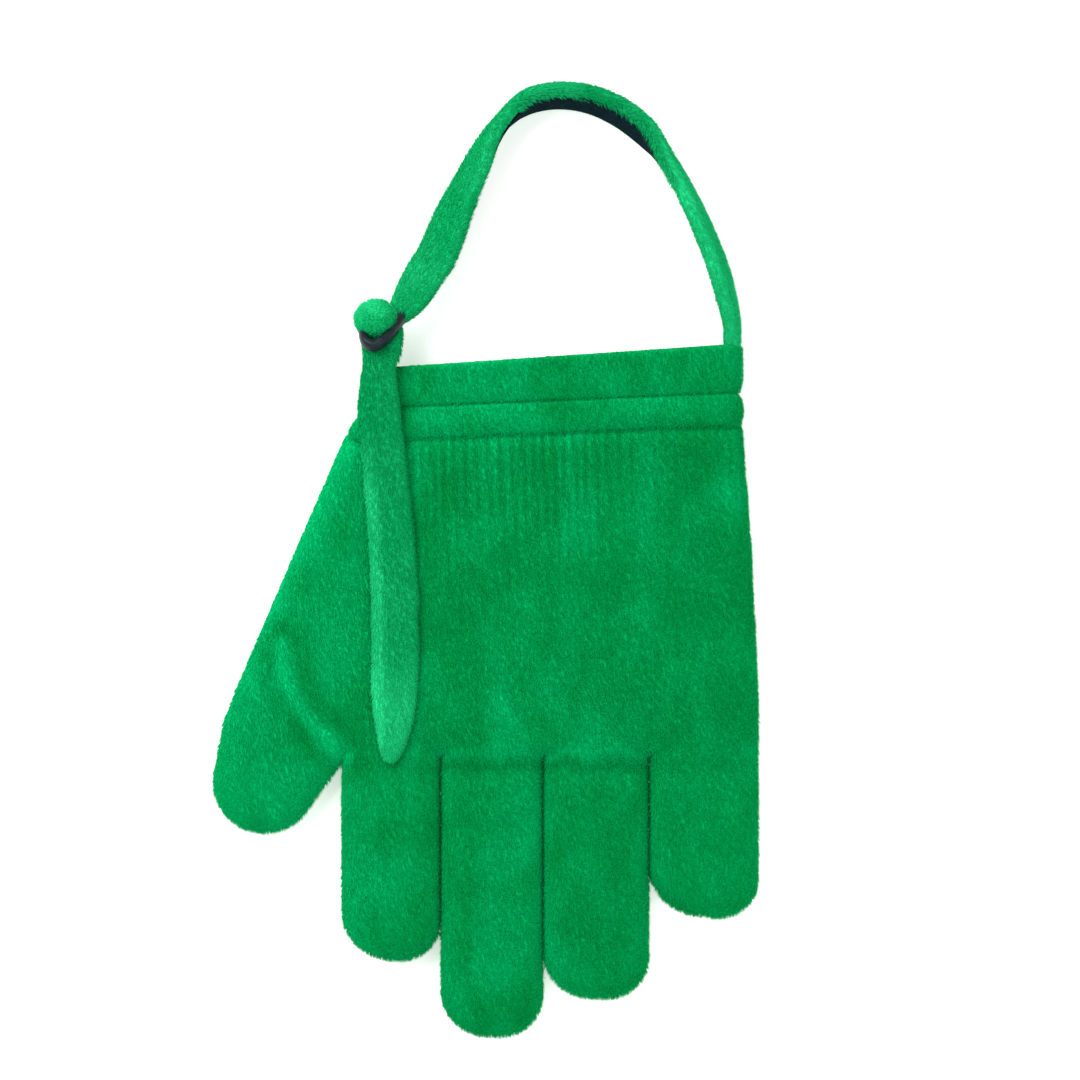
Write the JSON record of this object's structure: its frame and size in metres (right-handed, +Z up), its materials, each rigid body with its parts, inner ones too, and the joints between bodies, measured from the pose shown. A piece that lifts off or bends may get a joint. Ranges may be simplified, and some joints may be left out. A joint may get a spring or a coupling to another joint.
{
  "type": "moving mouth puppet glove",
  "caption": "Plush puppeteer's hand glove with jointed fingers and thumb, an elastic cuff, and a carrying strap that doubles back through a keeper ring into a long tail.",
  "frame": {"origin": "under the middle of the whole object, on the surface that it lies on", "axes": "+Y from the fingers towards the strap loop, +X away from the thumb, +Z up out of the front face"},
  "size_m": [0.2074, 0.363, 0.0305],
  "materials": {
    "plush": "short-pile plush",
    "plush_light": "short-pile plush, brushed lighter",
    "loop_tape": "woven hook-and-loop tape",
    "ring_plastic": "moulded plastic, satin",
    "elastic": "woven elastic",
    "thread": "sewing thread"
  },
  "bodies": {
    "glove": {"palm_front": "plush", "palm_back": "plush", "casing_front": "plush", "casing_back": "plush", "hem_front": "plush", "hem_back": "plush", "cuff_elastic": "elastic", "cuff_stitching": "thread", "strap_anchor": "plush_light", "anchor_stitching": "thread", "ring_tab": "plush"},
    "thumb_base": {"thumb_base_front": "plush", "thumb_base_back": "plush"},
    "thumb_tip": {"thumb_tip_front": "plush", "thumb_tip_back": "plush"},
    "index_base": {"index_base_front": "plush", "index_base_back": "plush"},
    "index_tip": {"index_tip_front": "plush", "index_tip_back": "plush"},
    "middle_base": {"middle_base_front": "plush", "middle_base_back": "plush"},
    "middle_tip": {"middle_tip_front": "plush", "middle_tip_back": "plush"},
    "ring_base": {"ring_base_front": "plush", "ring_base_back": "plush"},
    "ring_tip": {"ring_tip_front": "plush", "ring_tip_back": "plush"},
    "little_base": {"little_base_front": "plush", "little_base_back": "plush"},
    "little_tip": {"little_tip_front": "plush", "little_tip_back": "plush"},
    "loop": {"strap_plush": "plush_light", "strap_tape": "loop_tape"},
    "ring": {"keeper_ring": "ring_plastic", "strap_fold": "plush_light"},
    "tail": {"tail_plush": "plush_light", "tail_tape": "loop_tape"}
  },
  "joints": [
    {"name": "thumb_fold", "type": "hinge", "parent": "glove", "child": "thumb_base", "pos_m": [-0.0553, -0.02, 0.016], "axis": [0, 1, 0], "range_deg": [0, 30]},
    {"name": "thumb_bend", "type": "hinge", "parent": "thumb_base", "child": "thumb_tip", "pos_m": [-0.0757, -0.0673, 0.016], "axis": [-0.9198, 0.3923, 0], "range_deg": [0, 40]},
    {"name": "index_knuckle", "type": "hinge", "parent": "glove", "child": "index_base", "pos_m": [-0.03635, -0.08, 0.016], "axis": [-1, 0, 0], "range_deg": [0, 85]},
    {"name": "index_bend", "type": "hinge", "parent": "index_base", "child": "index_tip", "pos_m": [-0.03635, -0.11733, 0.016], "axis": [-1, 0, 0], "range_deg": [0, 90]},
    {"name": "middle_knuckle", "type": "hinge", "parent": "glove", "child": "middle_base", "pos_m": [0.00215, -0.08, 0.016], "axis": [-1, 0, 0], "range_deg": [0, 85]},
    {"name": "middle_bend", "type": "hinge", "parent": "middle_base", "child": "middle_tip", "pos_m": [0.00215, -0.13176, 0.016], "axis": [-1, 0, 0], "range_deg": [0, 90]},
    {"name": "ring_knuckle", "type": "hinge", "parent": "glove", "child": "ring_base", "pos_m": [0.0418, -0.08, 0.016], "axis": [-1, 0, 0], "range_deg": [0, 85]},
    {"name": "ring_bend", "type": "hinge", "parent": "ring_base", "child": "ring_tip", "pos_m": [0.0418, -0.12488, 0.016], "axis": [-1, 0, 0], "range_deg": [0, 90]},
    {"name": "little_knuckle", "type": "hinge", "parent": "glove", "child": "little_base", "pos_m": [0.083, -0.08, 0.016], "axis": [-1, 0, 0], "range_deg": [0, 85]},
    {"name": "little_bend", "type": "hinge", "parent": "little_base", "child": "little_tip", "pos_m": [0.083, -0.10887, 0.016], "axis": [-1, 0, 0], "range_deg": [0, 90]},
    {"name": "loop_swing", "type": "hinge", "parent": "glove", "child": "loop", "pos_m": [0.03, 0.0834, 0.0202], "axis": [1, 0, 0], "range_deg": [0, 90]},
    {"name": "ring_rock", "type": "hinge", "parent": "glove", "child": "ring", "pos_m": [-0.0415, 0.0965, 0.0141], "axis": [-0.9848, 0.1736, 0], "range_deg": [0, 40]},
    {"name": "tail_lift", "type": "hinge", "parent": "glove", "child": "tail", "pos_m": [-0.0395, 0.0803, 0.0254], "axis": [-1, 0, 0], "range_deg": [0, 90]}
  ]
}
